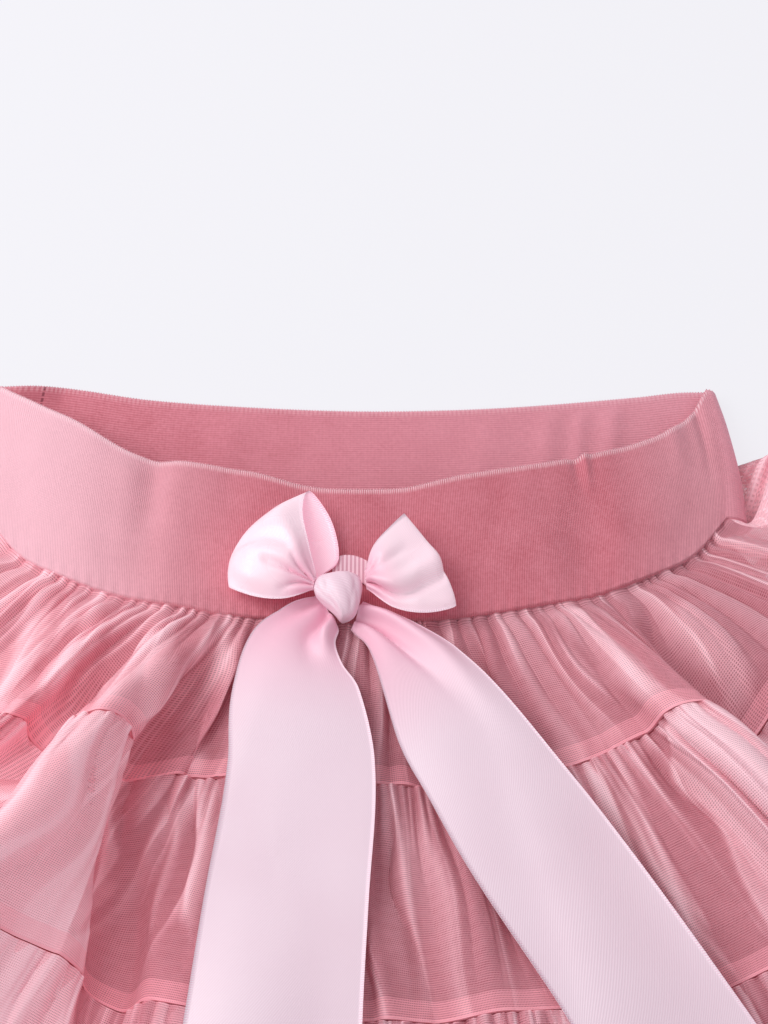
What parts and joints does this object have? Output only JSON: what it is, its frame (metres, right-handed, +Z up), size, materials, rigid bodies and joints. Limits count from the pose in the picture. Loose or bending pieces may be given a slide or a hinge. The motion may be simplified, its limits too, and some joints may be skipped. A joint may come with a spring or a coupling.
{
  "type": "tulle skirt",
  "caption": "Child's tiered tulle skirt lying flat on its back: wide knit waistband with an open waist, gathered see-through tiers over an opaque lining, and a satin ribbon bow with long tails.",
  "frame": {"origin": "on the surface the skirt lies on, below the middle of its outline", "axes": "+X across the skirt to the right side of the picture, +Y towards the waist, +Z up from the surface"},
  "size_m": [0.5812, 0.2713, 0.0807],
  "materials": {
    "knit_band": "fine ribbed jersey, matt",
    "tulle": "soft fine mesh, see-through",
    "lining_cloth": "plain opaque cloth, matt",
    "satin": "satin ribbon, soft sheen"
  },
  "bodies": {
    "root": {"waistband": "knit_band", "tier_1": "tulle", "tier_2": "tulle", "tier_3": "tulle", "lining": "lining_cloth", "bow_loop_left": "satin", "bow_loop_right": "satin", "bow_knot": "satin", "bow_stay": "satin", "ribbon_tail_left": "satin", "ribbon_tail_right": "satin"}
  },
  "joints": []
}
